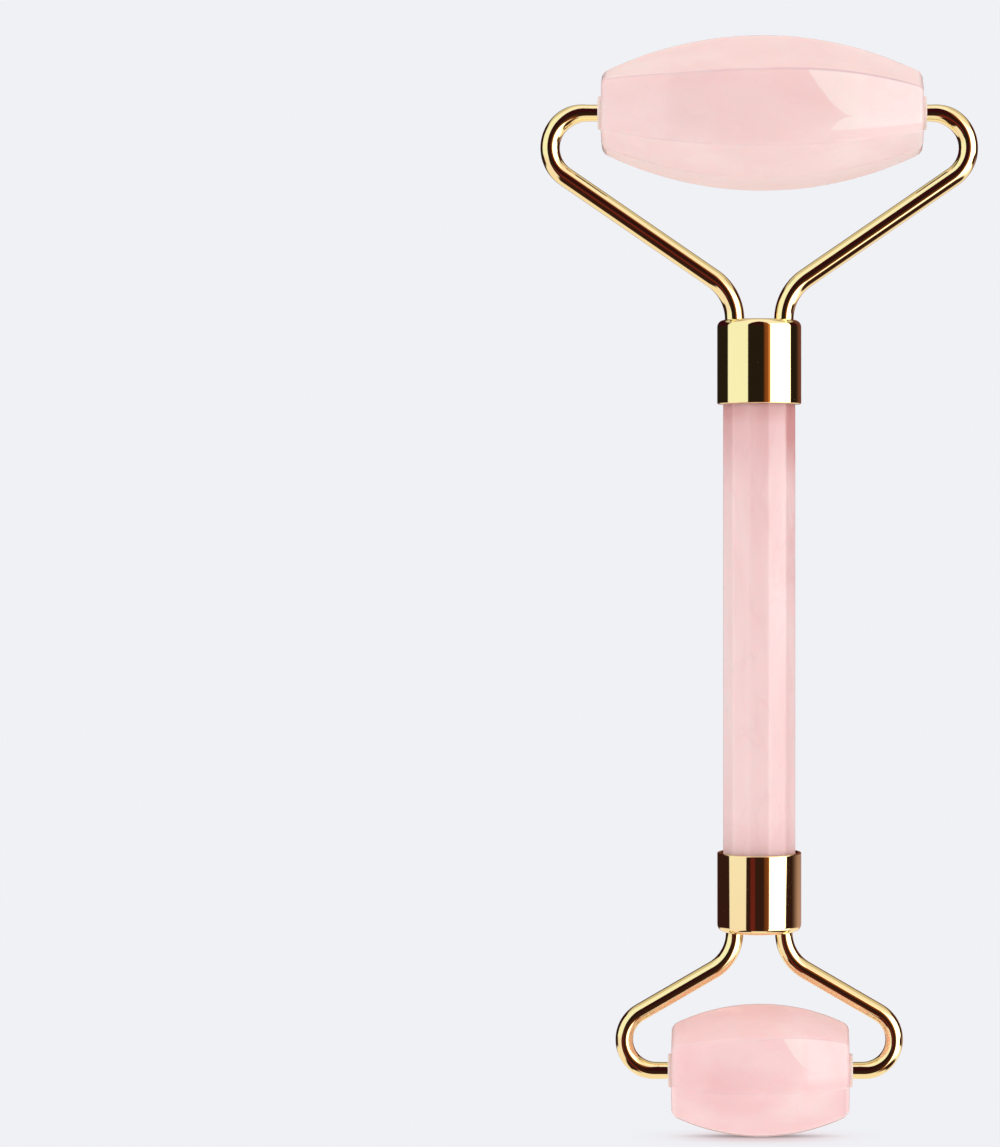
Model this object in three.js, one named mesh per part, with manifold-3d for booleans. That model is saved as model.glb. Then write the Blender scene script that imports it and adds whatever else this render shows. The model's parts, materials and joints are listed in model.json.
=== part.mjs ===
// Two-ended face roller in polished rose quartz and gilt wire.
//
// A twelve-sided stone grip has a gilt ferrule on each end. Each ferrule holds a fork of two sprung
// wire arms, and each fork carries a hand-cut barrel stone that spins on the arms' pins, in a flanged
// bush at each end of the stone. The large stone is at the top and the small one at the bottom.
//
// Millimetres. +Z runs up the grip to the large stone, X lies along both stones' axles, and -Y is the
// front. The origin is on the grip's centre line, at half of the roller's overall height.
import * as THREE from 'three';
import { mergeGeometries, mergeVertices } from 'three/addons/utils/BufferGeometryUtils.js';
import Module from 'manifold-3d';

const wasm = await Module();
wasm.setup();

// ---- Driving dimensions -------------------------------------------------------------------------

const GRIP = {
  sides: 12,
  acrossFlats: 9.5,
  shown: 59.1, // from one ferrule's mouth to the other's
  buried: 4.4, // inside each ferrule
  chamfer: 0.5,
  flatMargin: 0.4, // the bare flats are split off from the buried stretch this far before each mouth
};

const FERRULE = {
  radius: 5.55,
  wall: 0.5,
  endWall: 1,
  shoulder: 0.9,
  shoulderSteps: 5,
  sides: 48,
};

const LEGS = {
  spacing: 6.5, // between the two wires of a fork, where they enter the ferrule
  holeGap: 0.05, // round each wire in the ferrule's end wall and in the plug
};

const PLUG = { clearance: 0.05, length: 4 };

const ADHESIVE = { clearance: 0.04, collar: 2.2 }; // the collar runs this far round the grip's end

const PIN = {
  radius: 1.1,
  length: 5.8,
  tipChamfer: 0.3,
  neck: 0.95, // share of the wire's radius at the wide end of the pin's taper
  root: 0.5, // how far the taper's end is sunk in the wire
};

const BUSH = {
  flangeRadius: 2.2,
  flange: 0.5,
  sleeveRadius: 1.85,
  boreRadius: 1.17,
  length: 6.5,
  faceGap: 0.02, // between the flange and the stone's end
  sides: 24,
};

const STONE = { arcSteps: 18, edge: 0.5, boreRadius: 1.9 };

const WIRE_SIDES = 12;

const CUT_PAST = 1; // how far a cutting tool runs past the faces that it cuts

// Facet edges are in degrees round the stone's axis, from the front towards the open end of the fork.
const LARGE_END = {
  ferruleLength: 11.1,
  axle: 38.45, // height of the stone's axis above the ferrule's mouth
  wireRadius: 1.28,
  halfWidth: 28.9, // from the middle to the outside of the loop
  loopRadius: 4.6, // to the wire's centre line, as are all of these radii
  bendRadius: 6.6,
  bendHeight: 0.1, // centre of the lower bend above the ferrule's closed end
  wireSteps: 44,
  endPlay: 0.4, // the stone lies this far along +X, at the end of its play
  stone: {
    length: 42.3,
    radius: 10.25,
    endRadius: 5.3,
    facetEdges: [-184, -142, -97, -62, -31, 33, 83, 130],
  },
};

const SMALL_END = {
  ferruleLength: 10.4,
  axle: 28.85,
  wireRadius: 1.16,
  halfWidth: 19,
  loopRadius: 4.1,
  bendRadius: 5.7,
  bendHeight: 0.25,
  wireSteps: 34,
  endPlay: 0.15,
  stone: {
    length: 23.3,
    radius: 9.2,
    endRadius: 6.3,
    facetEdges: [-190, -145, -100, -55, -10, 35, 80, 125],
  },
};

const MOUTH_Z = GRIP.shown / 2;
const GRIP_RADIUS = GRIP.acrossFlats / 2 / Math.cos(Math.PI / GRIP.sides);
const GRIP_END_Z = MOUTH_Z + GRIP.buried;
const FERRULE_BORE = FERRULE.radius - FERRULE.wall;

const closedEndZ = (end) => MOUTH_Z + end.ferruleLength;
const plugTopZ = (end) => closedEndZ(end) - FERRULE.endWall - PLUG.clearance;
const plugBottomZ = (end) => plugTopZ(end) - PLUG.length;
const axleZ = (end) => MOUTH_Z + end.axle;
const loopX = (end) => end.halfWidth - end.wireRadius - end.loopRadius;

// ---- Materials ----------------------------------------------------------------------------------

const stoneMaterial = () => new THREE.MeshStandardMaterial({ color: 0xf3cfcd, roughness: 0.14 });
const giltMaterial = () => new THREE.MeshStandardMaterial({ color: 0xf0c878, roughness: 0.08, metalness: 1 });
const castMaterial = () => new THREE.MeshStandardMaterial({ color: 0x9c9a96, roughness: 0.5, metalness: 1 });
const resinMaterial = () => new THREE.MeshStandardMaterial({ color: 0xd9cfa8, roughness: 0.35 });
const bushMaterial = () => new THREE.MeshStandardMaterial({ color: 0xf6e4dc, roughness: 0.45 });

// ---- Helpers ------------------------------------------------------------------------------------

/** A closed geometry as a solid that can be joined and cut. */
function solidOf(geometry) {
  const bare = geometry.clone();
  bare.deleteAttribute('normal');
  bare.deleteAttribute('uv');
  const merged = mergeVertices(bare, 1e-4);
  const corners = merged.index.array;
  const triVerts = [];
  for (let i = 0; i < corners.length; i += 3) {
    const [a, b, c] = corners.slice(i, i + 3);
    if (a !== b && b !== c && c !== a) triVerts.push(a, b, c);
  }
  return new wasm.Manifold(new wasm.Mesh({
    numProp: 3,
    vertProperties: merged.attributes.position.array,
    triVerts: new Uint32Array(triVerts),
  }));
}

/** A solid as a geometry again. */
function geometryOf(solid) {
  const { vertProperties, triVerts } = solid.getMesh();
  const geometry = new THREE.BufferGeometry();
  geometry.setAttribute('position', new THREE.BufferAttribute(vertProperties, 3));
  geometry.setIndex(new THREE.BufferAttribute(triVerts, 1));
  geometry.computeVertexNormals();
  return geometry;
}

/** A turned solid about Z: points are [radius, z], in order up the outside. */
function turned(points, sides, startAngle = 0, sweep = 2 * Math.PI) {
  const profile = points.map(([radius, z]) => new THREE.Vector2(radius, z));
  return new THREE.LatheGeometry(profile, sides, startAngle, sweep).rotateX(Math.PI / 2);
}

/** A plain cylinder along Z from z0 to z1, centred at x. */
function rod(radius, z0, z1, sides, x = 0) {
  const cylinder = new THREE.CylinderGeometry(radius, radius, z1 - z0, sides);
  return cylinder.rotateX(Math.PI / 2).translate(x, 0, (z0 + z1) / 2);
}

function mesh(name, geometry, material) {
  const piece = new THREE.Mesh(geometry, material);
  piece.name = name;
  return piece;
}

/** Cuts the holes for a fork's two wires through a solid that lies between z0 and z1. */
function withWireHoles(solid, end, z0, z1) {
  return [-1, 1].reduce((body, side) => {
    const x = side * LEGS.spacing / 2;
    const hole = rod(end.wireRadius + LEGS.holeGap, z0 - CUT_PAST, z1 + CUT_PAST, WIRE_SIDES * 2, x);
    return body.subtract(solidOf(hole));
  }, solid);
}

// ---- Grip ---------------------------------------------------------------------------------------

function gripStone() {
  const upper = [
    [GRIP_RADIUS, MOUTH_Z - GRIP.flatMargin],
    [GRIP_RADIUS, GRIP_END_Z - GRIP.chamfer],
    [GRIP_RADIUS - GRIP.chamfer, GRIP_END_Z],
    [0, GRIP_END_Z],
  ];
  const lower = upper.map(([r, z]) => [r, -z]).reverse();
  return mesh('grip_stone', turned([...lower, ...upper], GRIP.sides, Math.PI / GRIP.sides), stoneMaterial());
}

// ---- One end: everything from the ferrule's mouth outwards, built pointing up -------------------

/** Cup with a rounded shoulder at its closed end and a hole for each wire. */
function ferrule(name, end) {
  const top = closedEndZ(end);
  const shoulder = [];
  for (let i = 0; i <= FERRULE.shoulderSteps; i += 1) {
    const angle = (i / FERRULE.shoulderSteps) * (Math.PI / 2);
    shoulder.push([
      FERRULE.radius - FERRULE.shoulder * (1 - Math.cos(angle)),
      top - FERRULE.shoulder * (1 - Math.sin(angle)),
    ]);
  }
  const cup = turned([
    [0, top - FERRULE.endWall],
    [FERRULE_BORE, top - FERRULE.endWall],
    [FERRULE_BORE, MOUTH_Z],
    [FERRULE.radius, MOUTH_Z],
    ...shoulder,
    [0, top],
  ], FERRULE.sides);
  const drilled = withWireHoles(solidOf(cup), end, top - FERRULE.endWall, top);
  return mesh(name, geometryOf(drilled), giltMaterial());
}

/** Cast disc pressed in under the ferrule's end wall, which grips the tails of both wires. */
function anchorPlug(name, end) {
  const [bottom, top] = [plugBottomZ(end), plugTopZ(end)];
  const disc = solidOf(rod(FERRULE_BORE - PLUG.clearance, bottom, top, FERRULE.sides));
  return mesh(name, geometryOf(withWireHoles(disc, end, bottom, top)), castMaterial());
}

/** Set resin that fills the ferrule between the plug and the grip, and the space round the grip's end. */
function adhesive(name, end) {
  const bottom = GRIP_END_Z - ADHESIVE.collar;
  const top = plugBottomZ(end) - ADHESIVE.clearance;
  const fill = solidOf(rod(FERRULE_BORE - ADHESIVE.clearance, bottom, top, FERRULE.sides));
  const socketRadius = GRIP_RADIUS + ADHESIVE.clearance;
  const socketEnd = GRIP_END_Z + ADHESIVE.clearance;
  const socket = turned([
    [0, bottom - CUT_PAST],
    [socketRadius, bottom - CUT_PAST],
    [socketRadius, socketEnd],
    [0, socketEnd],
  ], GRIP.sides, Math.PI / GRIP.sides);
  return mesh(name, geometryOf(fill.subtract(solidOf(socket))), resinMaterial());
}

/** A round bend in the XZ plane, between two angles from +X. */
class Bend extends THREE.Curve {
  constructor(centre, radius, from, to) {
    super();
    Object.assign(this, { centre, radius, from, to });
  }

  getPoint(t, target = new THREE.Vector3()) {
    const angle = THREE.MathUtils.lerp(this.from, this.to, t);
    return target.set(
      this.centre.x + this.radius * Math.cos(angle),
      0,
      this.centre.z + this.radius * Math.sin(angle),
    );
  }
}

/** Centre line of a right-hand arm: round the loop, down the straight run, round the bend, to the tail. */
function armPath(end) {
  const legX = LEGS.spacing / 2;
  const loop = new THREE.Vector3(loopX(end), 0, axleZ(end) - end.loopRadius);
  const bend = new THREE.Vector3(legX + end.bendRadius, 0, closedEndZ(end) + end.bendHeight);
  // The straight run crosses between the two circles, touching both.
  const across = bend.clone().sub(loop);
  const lean = Math.asin((end.loopRadius + end.bendRadius) / across.length());
  const run = Math.atan2(across.z, across.x) - lean;
  const loopBend = new Bend(loop, end.loopRadius, Math.PI / 2, run + Math.PI / 2);
  const lowerBend = new Bend(bend, end.bendRadius, run + 1.5 * Math.PI, Math.PI);
  const tail = new THREE.Vector3(legX, 0, plugBottomZ(end));
  const path = new THREE.CurvePath();
  path.add(loopBend);
  path.add(new THREE.LineCurve3(loopBend.getPoint(1), lowerBend.getPoint(0)));
  path.add(lowerBend);
  path.add(new THREE.LineCurve3(lowerBend.getPoint(1), tail));
  return path;
}

/** Bent wire whose end is turned down to the pin that the stone spins on. */
function rightArm(end) {
  const section = new THREE.Shape().absarc(0, 0, end.wireRadius, 0, 2 * Math.PI);
  const wire = new THREE.ExtrudeGeometry(section, {
    curveSegments: WIRE_SIDES / 2, // a full circle takes two sides for each
    steps: end.wireSteps,
    bevelEnabled: false,
    extrudePath: armPath(end),
  });
  const pinRoot = end.stone.length / 2 + BUSH.faceGap + BUSH.flange + end.endPlay;
  const pinTip = pinRoot - PIN.length;
  const neckRadius = PIN.neck * end.wireRadius;
  const neck = turned([
    [0, pinTip],
    [PIN.radius - PIN.tipChamfer, pinTip],
    [PIN.radius, pinTip + PIN.tipChamfer],
    [PIN.radius, pinRoot],
    [neckRadius, loopX(end)],
    [neckRadius, loopX(end) + PIN.root],
    [0, loopX(end) + PIN.root],
  ], WIRE_SIDES).rotateY(Math.PI / 2).translate(0, 0, axleZ(end));
  return geometryOf(solidOf(wire).add(solidOf(neck)));
}

/** Barrel along X with a strip of its own for each facet, and a bore right through it. */
function rollerStone(name, stone) {
  const half = stone.length / 2;
  const rise = stone.radius - stone.endRadius;
  const crown = (half * half + rise * rise) / (2 * rise);
  const profile = [[0, -half], [stone.endRadius - STONE.edge, -half]];
  for (let i = 0; i <= STONE.arcSteps; i += 1) {
    const x = (half - STONE.edge) * (2 * i / STONE.arcSteps - 1);
    profile.push([stone.radius - crown + Math.sqrt(crown * crown - x * x), x]);
  }
  profile.push([stone.endRadius - STONE.edge, half], [0, half]);
  const facets = stone.facetEdges.map((edge, i, edges) => {
    const next = i + 1 < edges.length ? edges[i + 1] : edges[0] + 360;
    return turned(profile, 1, THREE.MathUtils.degToRad(-next), THREE.MathUtils.degToRad(next - edge));
  });
  const bore = solidOf(rod(STONE.boreRadius, -half - CUT_PAST, half + CUT_PAST, BUSH.sides));
  const barrel = solidOf(mergeGeometries(facets)).subtract(bore);
  return mesh(name, geometryOf(barrel).rotateY(Math.PI / 2), stoneMaterial());
}

/** Flanged sleeve, its flange's outer face at x = 0 and its sleeve running to -X. */
function bush(name) {
  const ring = turned([
    [BUSH.boreRadius, -BUSH.length],
    [BUSH.sleeveRadius, -BUSH.length],
    [BUSH.sleeveRadius, -BUSH.flange],
    [BUSH.flangeRadius, -BUSH.flange],
    [BUSH.flangeRadius, 0],
    [BUSH.boreRadius, 0],
    [BUSH.boreRadius, -BUSH.length],
  ], BUSH.sides);
  return mesh(name, ring.rotateY(Math.PI / 2), bushMaterial());
}

/** A stone with its two bushes. */
function rollerHead(size, end) {
  const head = new THREE.Group();
  head.add(rollerStone(`${size}_roller_stone`, end.stone));
  for (const [side, sign] of [['left', -1], ['right', 1]]) {
    const piece = bush(`${size}_roller_${side}_bush`);
    piece.position.x = sign * (end.stone.length / 2 + BUSH.faceGap + BUSH.flange);
    piece.rotation.z = sign < 0 ? Math.PI : 0;
    head.add(piece);
  }
  head.position.set(end.endPlay, 0, axleZ(end));
  return head;
}

function rollerEnd(place, size, end) {
  const group = new THREE.Group();
  group.add(ferrule(`${place}_ferrule`, end));
  group.add(anchorPlug(`${place}_anchor_plug`, end));
  group.add(adhesive(`${place}_adhesive`, end));
  const arm = rightArm(end);
  group.add(mesh(`${size}_fork_right_arm`, arm, giltMaterial()));
  const leftArm = mesh(`${size}_fork_left_arm`, arm, giltMaterial());
  leftArm.rotation.z = Math.PI;
  group.add(leftArm);
  group.add(rollerHead(size, end));
  return group;
}

// ---- The whole roller ---------------------------------------------------------------------------

const roller = new THREE.Group();
roller.add(gripStone());
roller.add(rollerEnd('upper', 'large', LARGE_END));
const lowerEnd = rollerEnd('lower', 'small', SMALL_END);
lowerEnd.rotation.x = Math.PI;
roller.add(lowerEnd);

const box = new THREE.Box3().setFromObject(roller, true);
roller.position.z = -(box.min.z + box.max.z) / 2;

export default roller;
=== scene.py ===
"""Two-ended face roller: polished rose quartz grip and stones, gilt ferrules and wire forks.

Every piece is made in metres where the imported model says: +Z runs up the grip to the large stone,
X lies along both stones' axles and -Y is the front.
"""

import json
import math

import bmesh
import bpy
from bpy.props import FloatProperty, FloatVectorProperty, IntProperty, PointerProperty
from bpy.types import Operator, Panel, PropertyGroup
from mathutils import Matrix, Vector


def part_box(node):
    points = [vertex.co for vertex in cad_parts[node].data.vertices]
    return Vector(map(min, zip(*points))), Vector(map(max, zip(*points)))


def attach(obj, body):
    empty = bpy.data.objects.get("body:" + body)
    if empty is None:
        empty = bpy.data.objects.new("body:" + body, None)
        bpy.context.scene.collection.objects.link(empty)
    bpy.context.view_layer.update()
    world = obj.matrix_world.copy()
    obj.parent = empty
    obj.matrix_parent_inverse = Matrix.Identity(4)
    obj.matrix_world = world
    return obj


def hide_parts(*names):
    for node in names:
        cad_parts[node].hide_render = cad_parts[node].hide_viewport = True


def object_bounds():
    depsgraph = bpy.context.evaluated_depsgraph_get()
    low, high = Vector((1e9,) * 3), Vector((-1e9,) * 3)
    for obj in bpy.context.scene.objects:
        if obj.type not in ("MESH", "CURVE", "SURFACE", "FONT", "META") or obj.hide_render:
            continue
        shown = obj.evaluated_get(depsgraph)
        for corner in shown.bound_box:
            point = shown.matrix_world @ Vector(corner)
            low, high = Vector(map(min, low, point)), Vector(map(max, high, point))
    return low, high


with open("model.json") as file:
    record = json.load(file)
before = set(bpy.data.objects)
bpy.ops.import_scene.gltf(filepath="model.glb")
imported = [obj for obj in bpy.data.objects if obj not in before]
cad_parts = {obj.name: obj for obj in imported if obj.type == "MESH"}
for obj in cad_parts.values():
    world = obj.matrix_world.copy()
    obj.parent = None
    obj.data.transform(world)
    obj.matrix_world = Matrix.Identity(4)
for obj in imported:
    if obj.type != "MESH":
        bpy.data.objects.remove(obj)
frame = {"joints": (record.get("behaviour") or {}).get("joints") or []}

bl_info = {
    "name": "Face roller",
    "version": (1, 0, 0),
    "blender": (4, 5, 0),
    "location": "3D View > Sidebar > Face roller",
    "description": "Makes the stones, gilt wire and fittings of a two-ended face roller",
    "category": "Add Mesh",
}

MM = 0.001
CAD_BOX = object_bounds()

FACET_MAP = "facet_map"
# Places in each end's list of facet edges: the front facet starts at the first of these, and the
# second is the edge above it.
FRONT_FACET = 4
TOP_CORNER = 5

# Where the grip's side facets start, out from its middle, and over what width they do.
GRIP_FLANK = (3.2 * MM, 0.6 * MM)

# Faces round each turned shape.
FERRULE_SIDES = 128
PLUG_SIDES = 96
BUSH_SIDES = 64
BORE_SIDES = 48
HOLE_SIDES = 40

# Points closer together than JOIN become one, and a difference under NEAR counts as none.
JOIN = 1e-7
NEAR = 1e-6


class RollerEnd:
    """One end of the roller. Heights in it run outwards from the middle of the object."""

    def __init__(self, place, size, way, facet_edges, hand_cut, painted_reflection, cloud, top_rim, low_rim):
        self.place = place
        self.size = size
        self.way = way
        self.facet_edges = facet_edges
        self.hand_cut = hand_cut
        self.painted_reflection = painted_reflection
        self.cloud = cloud
        self.top_rim = top_rim
        self.low_rim = low_rim
        self.turn = Matrix.Identity(4) if way > 0 else Matrix.Rotation(math.pi, 4, "X")
        self.stone_body = f"{size}_roller"
        joint = next(j for j in frame["joints"] if j["child"] == self.stone_body)
        self.axle = way * joint["pos_m"][2]

    def corners(self, place):
        """The angles of the facet edges at a place from -1 to 1 along the stone."""
        corners = list(self.facet_edges)
        cut = self.hand_cut
        lean = cut["left"] * place ** 4 if place < 0 else cut["right"] * place
        corners[TOP_CORNER] = cut["middle"] + lean
        return corners

    def heights(self, node):
        """The inner and outer heights of a CAD node of this end."""
        low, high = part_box(node)
        return sorted((self.way * low.z, self.way * high.z))


# Facet edges are in degrees round the axle, from the front upwards. The hand-cut one above the
# front facet is given as its angle in the middle and how far it leans at the left and right ends.
# The entries of the painted highlight on the front facet are explained where it is painted. The cloud's
# place and size are shares of half the stone's length, and so are the heights at which the rosy rims of
# painted shade start.
UPPER = RollerEnd(
    "upper", "large", 1, [-184, -142, -97, -62, -31, 33, 83, 130],
    hand_cut={"middle": 27.5, "left": 22, "right": 5.5},
    painted_reflection={
        "tip": 0.56, "tip_share": 0.35, "top": 0.265, "curve": 0.6, "foot": 0.18,
        "foot_blur": 0.05, "nose": 0.41, "start": 0.58, "lines": 0.75,
    },
    cloud={"x": -0.08, "z": 0.1, "width": 0.62, "height": 0.36, "strength": 0.22},
    top_rim={"start": 0.5, "width": 0.1, "strength": 0.0},
    low_rim={"start": -0.4, "width": 0.1, "strength": 0.16},
)
LOWER = RollerEnd(
    "lower", "small", -1, [-190, -145, -100, -55, -10, 35, 80, 125],
    hand_cut={"middle": 35, "left": 2, "right": 8},
    painted_reflection={
        "tip": 0.74, "tip_share": 0.34, "top": 0.25, "curve": 0.4, "foot": 0.3,
        "foot_blur": 0.28, "nose": 0.52, "start": 0.43, "lines": 0.25,
    },
    cloud={"x": -0.3, "z": -0.12, "width": 0.6, "height": 0.3, "strength": 0.2},
    top_rim={"start": 0.5, "width": 0.2, "strength": 0.2},
    low_rim={"start": -0.66, "width": 0.2, "strength": 0.16},
)
ENDS = [UPPER, LOWER]


# ---- Settings -----------------------------------------------------------------------------------


def length(name, description, default):
    """A length property, its default in millimetres."""
    return FloatProperty(name=name, description=description, default=default * MM, unit="LENGTH")


def colour(name, description, default):
    return FloatVectorProperty(name=name, description=description, default=default, subtype="COLOR")


def amount(name, description, default):
    return FloatProperty(name=name, description=description, default=default, subtype="FACTOR")


class GripSettings(PropertyGroup):
    facets: IntProperty(name="Facets", description="Flats round the grip", default=12)
    edge_softness: length("Edge softness", "Width polished off each long edge", 0.28)
    end_chamfer: length("End chamfer", "Chamfer on the ends inside the ferrules", 0.5)


class FerruleSettings(PropertyGroup):
    wall: length("Wall", "Thickness of the side wall", 0.5)
    end_wall: length("End wall", "Thickness of the closed end", 1.0)
    shoulder: length("Shoulder", "Radius of the rounded closed end", 0.9)
    lip: length("Lip", "Rounding of the mouth's rim", 0.14)
    hole_gap: length("Hole gap", "Clearance round each wire", 0.05)
    hole_edge: length("Hole edge", "Countersink of each hole", 0.12)
    leg_spacing: length("Leg spacing", "Distance between a fork's two wires", 6.5)


class WireSettings(PropertyGroup):
    sides: IntProperty(name="Sides", description="Faces round the wire", default=40)
    pin_radius: length("Pin radius", "Radius of the pins in the bushes", 1.1)
    pin_length: length("Pin length", "How far each pin reaches into its bush", 5.8)
    swelling_turn: FloatProperty(
        name="Swelling turn", description="How far round the loop the pin swells to the full wire",
        default=math.radians(35), subtype="ANGLE",
    )
    large_loop: length("Large loop", "Loop radius of the large fork", 4.6)
    large_bend: length("Large bend", "Lower bend radius of the large fork", 6.6)
    large_bend_height: length("Large bend height", "Bend's centre above the ferrule", 0.1)
    small_loop: length("Small loop", "Loop radius of the small fork", 4.1)
    small_bend: length("Small bend", "Lower bend radius of the small fork", 5.7)
    small_bend_height: length("Small bend height", "Bend's centre above the ferrule", 0.25)


class StoneSettings(PropertyGroup):
    large_radius: length("Large radius", "Radius of the large stone over its facet edges", 10.25)
    large_end_radius: length("Large end radius", "The same at its ends", 5.3)
    small_radius: length("Small radius", "Radius of the small stone over its facet edges", 9.2)
    small_end_radius: length("Small end radius", "The same at its ends", 6.3)
    bore_radius: length("Bore radius", "Radius of the bore for the bushes", 1.9)
    edge_softness: length("Edge softness", "Width polished off the facet edges", 0.3)
    end_rounding: length("End rounding", "Rounding where the barrel meets its ends", 0.7)
    stations: IntProperty(name="Stations", description="Steps along each stone", default=56)


class BushSettings(PropertyGroup):
    bore_radius: length("Bore radius", "Radius of the hole that the pin runs in", 1.17)
    sleeve_radius: length("Sleeve radius", "Radius of the sleeve in the stone", 1.85)
    flange: length("Flange", "Thickness of the flange", 0.5)
    edge: length("Edge", "Rounding of the edges", 0.1)


class ColourSettings(PropertyGroup):
    # Each rose colour is used for the deeper clouds and also for painted shade.
    large: colour("Large stone", "Main colour of the large stone", (0.895, 0.668, 0.652))
    large_pale: colour("Large stone pale", "Its milky clouds", (0.955, 0.77, 0.75))
    large_rose: colour("Large stone rose", "Its deeper clouds", (0.82, 0.48, 0.47))
    small: colour("Small stone", "Main colour of the small stone", (0.905, 0.61, 0.61))
    small_pale: colour("Small stone pale", "Its milky clouds", (0.965, 0.735, 0.73))
    small_rose: colour("Small stone rose", "Its deeper clouds", (0.81, 0.40, 0.42))
    grip: colour("Grip", "Main colour of the grip", (0.845, 0.61, 0.605))
    grip_pale: colour("Grip pale", "Its milky clouds", (0.90, 0.725, 0.72))
    grip_rose: colour("Grip rose", "Its deeper clouds", (0.62, 0.285, 0.28))
    # Colour of the painted highlight on the stones' front facets, in place of a reflection.
    painted_reflection: colour("Veil", "Milky veil on a stone's front facet", (1.0, 0.90, 0.86))
    # Colour of the painted shade lines along the facet edges and of the painted shade at the front facets'
    # left ends.
    line: colour("Line", "Thin line along the facets' borders", (0.56, 0.38, 0.43))
    gilt: colour("Gilt", "Gold plating", (1.0, 0.80, 0.42))
    bush: colour("Bush", "Moulded bushes", (0.93, 0.76, 0.70))
    zinc: colour("Zinc", "Cast anchor plugs", (0.42, 0.42, 0.43))
    resin: colour("Resin", "Set adhesive", (0.78, 0.66, 0.38))


class StudioSettings(PropertyGroup):
    distance: length("Distance", "Camera to the roller's middle plane", 429)
    eye_height: length("Eye height", "Camera's height in the frame", 10.9)
    view_angle: FloatProperty(
        name="View angle", description="Upright angle of view", default=math.radians(20.02), subtype="ANGLE"
    )
    shift_x: FloatProperty(name="Shift X", description="Sideways framing", default=-0.226)
    shift_y: FloatProperty(name="Shift Y", description="Upright framing", default=-0.0597)
    floor_gap: length("Floor gap", "Floor below the small stone", 0.18)
    background: colour("Background", "Plain pale surroundings", (0.871, 0.880, 0.914))
    fill: amount("Fill", "Level of the soft light all round", 1.06)


GROUPS = {
    "roller_grip": GripSettings,
    "roller_ferrule": FerruleSettings,
    "roller_wire": WireSettings,
    "roller_stone": StoneSettings,
    "roller_bush": BushSettings,
    "roller_colour": ColourSettings,
    "roller_studio": StudioSettings,
}


# ---- Shader maths -------------------------------------------------------------------------------


class Signal:
    """One output of a shader node, which can stand in sums."""

    def __init__(self, graph, socket):
        self.graph = graph
        self.socket = socket

    def maths(self, operation, *values, clamp=False):
        sockets = dict(enumerate([self, *values]))
        return self.graph.value("ShaderNodeMath", {"operation": operation, "use_clamp": clamp}, sockets)

    def __add__(self, other):
        return self.maths("ADD", other)

    __radd__ = __add__

    def __sub__(self, other):
        return self.maths("SUBTRACT", other)

    def __rsub__(self, other):
        return (self * -1) + other

    def __mul__(self, other):
        return self.maths("MULTIPLY", other)

    __rmul__ = __mul__

    def __truediv__(self, other):
        return self.maths("DIVIDE", other)

    def __pow__(self, other):
        return self.maths("POWER", other)

    def __abs__(self):
        return self.maths("ABSOLUTE")

    def sqrt(self):
        return self.maths("SQRT")

    def clamped(self):
        return self.maths("ADD", 0.0, clamp=True)

    def step(self, start, width):
        """0 up to start, 1 from start + width, and smooth between them."""
        sockets = {0: self, 1: start, 2: start + width, 3: 0.0, 4: 1.0}
        return self.graph.value("ShaderNodeMapRange", {"interpolation_type": "SMOOTHSTEP"}, sockets)

    def between(self, start, rise, end, fall):
        """1 from start + rise to end, 0 below start and beyond end + fall, and smooth between."""
        return self.step(start, rise) * (1 - self.step(end, fall))


class Graph:
    """The node tree of a material or world."""

    def __init__(self, owner):
        owner.use_nodes = True
        self.tree = owner.node_tree
        self.tree.nodes.clear()

    def node(self, kind, settings=None, sockets=None):
        """Adds a node: its settings first, then the values or links of its sockets."""
        node = self.tree.nodes.new(kind)
        for name, value in (settings or {}).items():
            setattr(node, name, value)
        for name, value in (sockets or {}).items():
            if isinstance(value, Signal):
                self.tree.links.new(value.socket, node.inputs[name])
            else:
                node.inputs[name].default_value = value
        return node

    def value(self, kind, settings=None, sockets=None, output=0):
        return Signal(self, self.node(kind, settings, sockets).outputs[output])

    def mix(self, factor, first, second):
        """A colour between two others."""
        sockets = {0: factor, 6: opaque(first), 7: opaque(second)}
        settings = {"data_type": "RGBA", "clamp_factor": True}
        return self.value("ShaderNodeMix", settings, sockets, 2)

    def noise(self, place, scale, detail=3.0, distortion=0.0, roughness=0.5):
        """Cloudy noise from 0 to 1, its scale in waves per metre."""
        sockets = {
            "Vector": place, "Scale": scale, "Detail": detail,
            "Distortion": distortion, "Roughness": roughness,
        }
        return self.value("ShaderNodeTexNoise", None, sockets)

    def stretched(self, place, scale):
        sockets = {"Vector": place, "Scale": scale}
        return self.value("ShaderNodeMapping", {"vector_type": "POINT"}, sockets)


def opaque(value):
    """A colour with its alpha, or a signal as it is."""
    return value if isinstance(value, Signal) else (*value[:3], 1.0)


def shade_of(tint, share):
    """A colour darkened to a share of itself."""
    return tuple(part * share for part in tint)


class Finish(Graph):
    """A material with one Principled shader."""

    def __init__(self, name, constants):
        self.material = bpy.data.materials.new(name)
        super().__init__(self.material)
        self.shader = self.node("ShaderNodeBsdfPrincipled", None, constants)
        output = self.node("ShaderNodeOutputMaterial")
        self.tree.links.new(self.shader.outputs[0], output.inputs["Surface"])
        self.place = self.value("ShaderNodeTexCoord", output="Object")

    def feed(self, socket, signal):
        self.tree.links.new(signal.socket, self.shader.inputs[socket])

    def bump(self, height, distance, strength=1.0):
        """Raises the surface by a height signal, times a distance in metres."""
        sockets = {"Height": height, "Distance": distance, "Strength": strength}
        self.feed("Normal", self.value("ShaderNodeBump", None, sockets))


# ---- Materials ----------------------------------------------------------------------------------


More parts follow.
